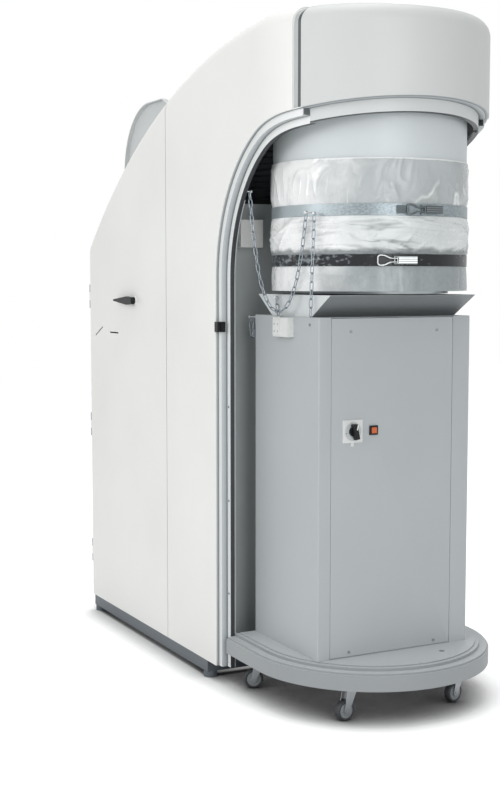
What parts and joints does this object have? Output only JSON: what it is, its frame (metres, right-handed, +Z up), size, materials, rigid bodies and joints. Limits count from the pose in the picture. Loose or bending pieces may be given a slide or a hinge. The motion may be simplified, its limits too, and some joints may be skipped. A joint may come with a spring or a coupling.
{
  "type": "industrial shredder",
  "caption": "Tall industrial shredder: curved body and arch, outlet drum with clamped bag film, and a castered switch cabinet with hopper beneath it.",
  "frame": {"origin": "middle of the footprint on the floor: the machine's left-right middle plane, half way between the platform's front and the body's rear face", "axes": "+Z up, -Y towards the front where the outlet drum and the switch cabinet stand, +Y towards the feed opening at the rear, -X towards the side door"},
  "size_m": [0.809, 1.7813, 2.075],
  "materials": {
    "painted_frame": "satin",
    "body_paint": "satin",
    "cap_paint": "satin",
    "steel_grey": "bright zinc",
    "black_plastic": "matte",
    "inner_paint": "satin",
    "pale_plastic": "matte",
    "duct_rubber": "matte",
    "grey_paint": "satin",
    "tool_steel": "machined",
    "motor_paint": "satin",
    "film": "clear crumpled film",
    "zinc_band": "zinc plated",
    "black_band": "satin",
    "lamp_lens": "glossy lens",
    "platform_plastic": "moulded, fine grain",
    "wheel_tyre": "dark tyre on a grey hub"
  },
  "bodies": {
    "machine": {"body_frame": "painted_frame", "arm_shell": "body_paint", "front_cap": "cap_paint", "rear_shell": "body_paint", "door_hinges": "steel_grey", "left_trim": "body_paint", "right_trim": "body_paint", "front_lip": "body_paint", "trim_blocks": "black_plastic", "front_wall": "inner_paint", "hood_floor": "inner_paint", "junction_box": "pale_plastic", "riser_duct": "duct_rubber", "feed_hopper": "grey_paint", "mill_housing": "painted_frame", "blower_housing": "painted_frame", "mill_motor": "motor_paint", "drive_belt": "duct_rubber", "drum": "inner_paint", "film_collar": "film", "film_gather": "film", "film_skirt": "film", "upper_band": "zinc_band", "lower_band": "black_band", "long_chain": "zinc_band", "short_chains": "zinc_band", "cabinet_shell": "grey_paint", "cabinet_front": "grey_paint", "screws": "steel_grey", "switch_plate": "pale_plastic", "lamp_bezel": "black_plastic", "interlock_socket": "pale_plastic", "hopper": "grey_paint", "platform": "platform_plastic", "cutter_frame": "painted_frame", "cutter_motor": "motor_paint", "caster_plates": "steel_grey"},
    "side_door": {"left_door": "body_paint"},
    "door_lock": {"door_lever": "black_plastic"},
    "flap": {"feed_flap": "duct_rubber"},
    "cutting_rotor": {"rotor": "tool_steel", "rotor_pulley": "tool_steel"},
    "drive": {"drive_shaft": "tool_steel", "blower_wheel": "tool_steel"},
    "top_lever": {"upper_lever": "zinc_band"},
    "top_bail": {"upper_bail": "zinc_band"},
    "bottom_lever": {"lower_lever": "zinc_band"},
    "bottom_bail": {"lower_bail": "zinc_band"},
    "knob": {"switch_knob": "black_plastic"},
    "button": {"lamp_button": "lamp_lens"},
    "cutter_a": {"cutter_shaft_a": "tool_steel"},
    "cutter_b": {"cutter_shaft_b": "tool_steel"},
    "fork_1": {"caster_fork_1": "steel_grey"},
    "wheel_1": {"caster_wheel_1": "wheel_tyre"},
    "fork_2": {"caster_fork_2": "steel_grey"},
    "wheel_2": {"caster_wheel_2": "wheel_tyre"},
    "fork_3": {"caster_fork_3": "steel_grey"},
    "wheel_3": {"caster_wheel_3": "wheel_tyre"},
    "fork_4": {"caster_fork_4": "steel_grey"},
    "wheel_4": {"caster_wheel_4": "wheel_tyre"}
  },
  "joints": [
    {"name": "door_swing", "type": "hinge", "parent": "machine", "child": "side_door", "pos_m": [-0.3742, 0.8908, 0.73], "axis": [0, 0, -1], "range_deg": [0, 105]},
    {"name": "lock_turn", "type": "hinge", "parent": "side_door", "child": "door_lock", "pos_m": [-0.395, 0.43, 1.225], "axis": [-1, 0, 0], "range_deg": [0, 90]},
    {"name": "flap_swing", "type": "hinge", "parent": "machine", "child": "flap", "pos_m": [0, 0.5, 1.3], "axis": [1, 0, 0], "range_deg": [-25, 60]},
    {"name": "rotor_spin", "type": "hinge", "parent": "machine", "child": "cutting_rotor", "pos_m": [0, 0.56, 0.56], "axis": [1, 0, 0], "continuous": true},
    {"name": "drive_spin", "type": "hinge", "parent": "machine", "child": "drive", "pos_m": [0, 0.06, 0.56], "axis": [1, 0, 0], "continuous": true},
    {"name": "top_lever_turn", "type": "hinge", "parent": "machine", "child": "top_lever", "pos_m": [0.01133, -0.80541, 1.504], "axis": [0, 0, -1], "range_deg": [0, 95]},
    {"name": "top_bail_turn", "type": "hinge", "parent": "top_lever", "child": "top_bail", "pos_m": [0.01919, -0.80969, 1.504], "axis": [0, 0, -1], "range_deg": [-95, 0]},
    {"name": "bottom_lever_turn", "type": "hinge", "parent": "machine", "child": "bottom_lever", "pos_m": [-0.07244, -0.79064, 1.358], "axis": [0, 0, -1], "range_deg": [0, 95]},
    {"name": "bottom_bail_turn", "type": "hinge", "parent": "bottom_lever", "child": "bottom_bail", "pos_m": [-0.06606, -0.79692, 1.358], "axis": [0, 0, -1], "range_deg": [-95, 0]},
    {"name": "knob_turn", "type": "hinge", "parent": "machine", "child": "knob", "pos_m": [-0.153, -0.7, 0.856], "axis": [0, -1, 0], "range_deg": [0, 90]},
    {"name": "button_push", "type": "slide", "parent": "machine", "child": "button", "axis": [0, 1, 0], "range_m": [0, 0.003], "stiffness_N_per_m": 300},
    {"name": "cutter_a_spin", "type": "hinge", "parent": "machine", "child": "cutter_a", "pos_m": [0, -0.553, 1.08], "axis": [1, 0, 0], "continuous": true},
    {"name": "cutter_b_spin", "type": "hinge", "parent": "machine", "child": "cutter_b", "pos_m": [0, -0.461, 1.08], "axis": [1, 0, 0], "continuous": true},
    {"name": "swivel_1", "type": "hinge", "parent": "machine", "child": "fork_1", "pos_m": [-0.173, -0.73, 0.09], "axis": [0, 0, 1], "continuous": true},
    {"name": "roll_1", "type": "hinge", "parent": "fork_1", "child": "wheel_1", "pos_m": [-0.19687, -0.73251, 0.031], "axis": [0.1045, -0.9945, 0], "continuous": true},
    {"name": "swivel_2", "type": "hinge", "parent": "machine", "child": "fork_2", "pos_m": [0.217, -0.73, 0.09], "axis": [0, 0, 1], "continuous": true},
    {"name": "roll_2", "type": "hinge", "parent": "fork_2", "child": "wheel_2", "pos_m": [0.19352, -0.73499, 0.031], "axis": [0.2079, -0.9781, 0], "continuous": true},
    {"name": "swivel_3", "type": "hinge", "parent": "machine", "child": "fork_3", "pos_m": [-0.268, -0.335, 0.09], "axis": [0, 0, 1], "continuous": true},
    {"name": "roll_3", "type": "hinge", "parent": "fork_3", "child": "wheel_3", "pos_m": [-0.29055, -0.32679, 0.031], "axis": [-0.342, -0.9397, 0], "continuous": true},
    {"name": "swivel_4", "type": "hinge", "parent": "machine", "child": "fork_4", "pos_m": [0.312, -0.335, 0.09], "axis": [0, 0, 1], "continuous": true},
    {"name": "roll_4", "type": "hinge", "parent": "fork_4", "child": "wheel_4", "pos_m": [0.33455, -0.32679, 0.031], "axis": [-0.342, 0.9397, 0], "continuous": true}
  ],
  "couplings": [
    {"joint": "drive_spin", "follows": "rotor_spin", "ratio": 1.6667},
    {"joint": "top_bail_turn", "follows": "top_lever_turn", "ratio": -1},
    {"joint": "bottom_bail_turn", "follows": "bottom_lever_turn", "ratio": -1},
    {"joint": "cutter_b_spin", "follows": "cutter_a_spin", "ratio": -1}
  ]
}
